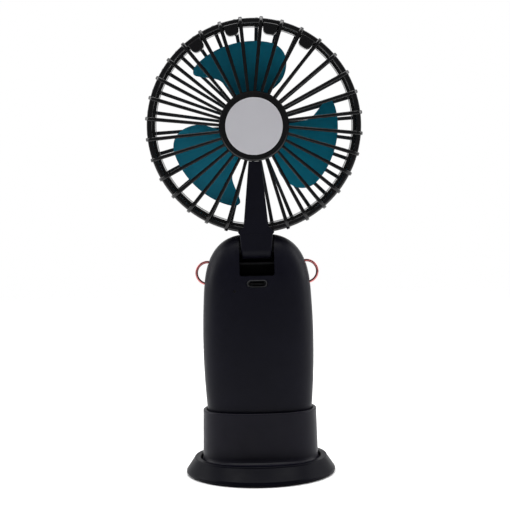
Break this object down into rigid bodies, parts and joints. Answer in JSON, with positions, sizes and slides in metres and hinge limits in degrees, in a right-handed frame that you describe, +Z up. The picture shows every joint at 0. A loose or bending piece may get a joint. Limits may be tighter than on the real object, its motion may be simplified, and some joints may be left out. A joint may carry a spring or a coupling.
{
  "type": "folding cordless fan",
  "caption": "Small cordless fan: round guarded head on a folding arm, slim battery handle with strap rings, standing in a round dock base.",
  "frame": {"origin": "bottom centre of the dock base, on the surface it stands on", "axes": "+Z up, +Y the way the air blows, -Y the rear with the arm and the charging port, +X to the right seen from the rear"},
  "size_m": [0.0992, 0.0692, 0.2105],
  "materials": {
    "black_gloss": "gloss black moulded plastic",
    "dark_guard": "dark satin moulded plastic",
    "graphite": "dark blue-black soft-touch plastic",
    "charcoal": "charcoal satin plastic",
    "grey_disc": "light grey satin plastic",
    "teal": "dark teal satin plastic",
    "rose_gold": "rose-gold plated wire",
    "steel": "plain steel",
    "dark_metal": "black-nickel plated steel",
    "brass": "sintered bronze",
    "copper": "enamelled copper winding on a steel core",
    "inner_plastic": "black moulded plastic, inside",
    "board_green": "circuit board laminate",
    "cell_wrap": "shrink wrap on a steel can",
    "lens": "smoked light pipe",
    "lead": "insulated wire",
    "foot_rubber": "anti-slip rubber"
  },
  "bodies": {
    "base": {"base_skirt": "graphite", "dock_cup": "charcoal", "base_weight": "steel", "base_plate": "inner_plastic", "base_screws": "steel", "foot_pad": "foot_rubber"},
    "handle": {"rear_shell": "graphite", "front_shell": "graphite", "case_screws": "steel", "hinge_cradle": "inner_plastic", "hinge_pin": "steel", "hinge_washers": "inner_plastic", "battery_cell": "cell_wrap", "battery_leads": "lead", "circuit_board": "board_green", "tact_switch": "inner_plastic", "charging_socket": "dark_metal", "socket_tongue": "inner_plastic", "charge_indicator": "lens"},
    "button": {"power_button": "charcoal"},
    "left_ring": {"left_ring": "rose_gold"},
    "right_ring": {"right_ring": "rose_gold"},
    "head": {"rear_rim": "black_gloss", "rear_grille": "black_gloss", "front_rim": "dark_guard", "front_grille": "dark_guard", "guard_clips": "black_gloss", "hub_disc": "grey_disc", "front_cap": "grey_disc", "arm_rear": "graphite", "arm_cover": "inner_plastic", "arm_screws": "steel", "motor_can": "steel", "motor_end_cap": "inner_plastic", "motor_bushes": "brass", "motor_magnets": "inner_plastic", "motor_leads": "lead"},
    "fan": {"impeller": "teal", "motor_shaft": "steel", "armature": "copper"}
  },
  "joints": [
    {"name": "handle_lift", "type": "slide", "parent": "base", "child": "handle", "axis": [0, 0, 1], "range_m": [0, 0.032]},
    {"name": "head_fold", "type": "hinge", "parent": "handle", "child": "head", "pos_m": [0, -0.0054, 0.1046], "axis": [1, 0, 0], "range_deg": [0, 90]},
    {"name": "blade_spin", "type": "hinge", "parent": "head", "child": "fan", "pos_m": [0, 0, 0.1608], "axis": [0, 1, 0], "continuous": true},
    {"name": "button_press", "type": "slide", "parent": "handle", "child": "button", "axis": [0, -1, 0], "range_m": [0, 0.0005], "stiffness_N_per_m": 800, "springref_m": -0.0005},
    {"name": "left_ring_swing", "type": "hinge", "parent": "handle", "child": "left_ring", "pos_m": [-0.0228, 0, 0.0935], "axis": [0, 0, 1], "range_deg": [-18, 18]},
    {"name": "right_ring_swing", "type": "hinge", "parent": "handle", "child": "right_ring", "pos_m": [0.0228, 0, 0.0935], "axis": [0, 0, 1], "range_deg": [-18, 18]}
  ]
}
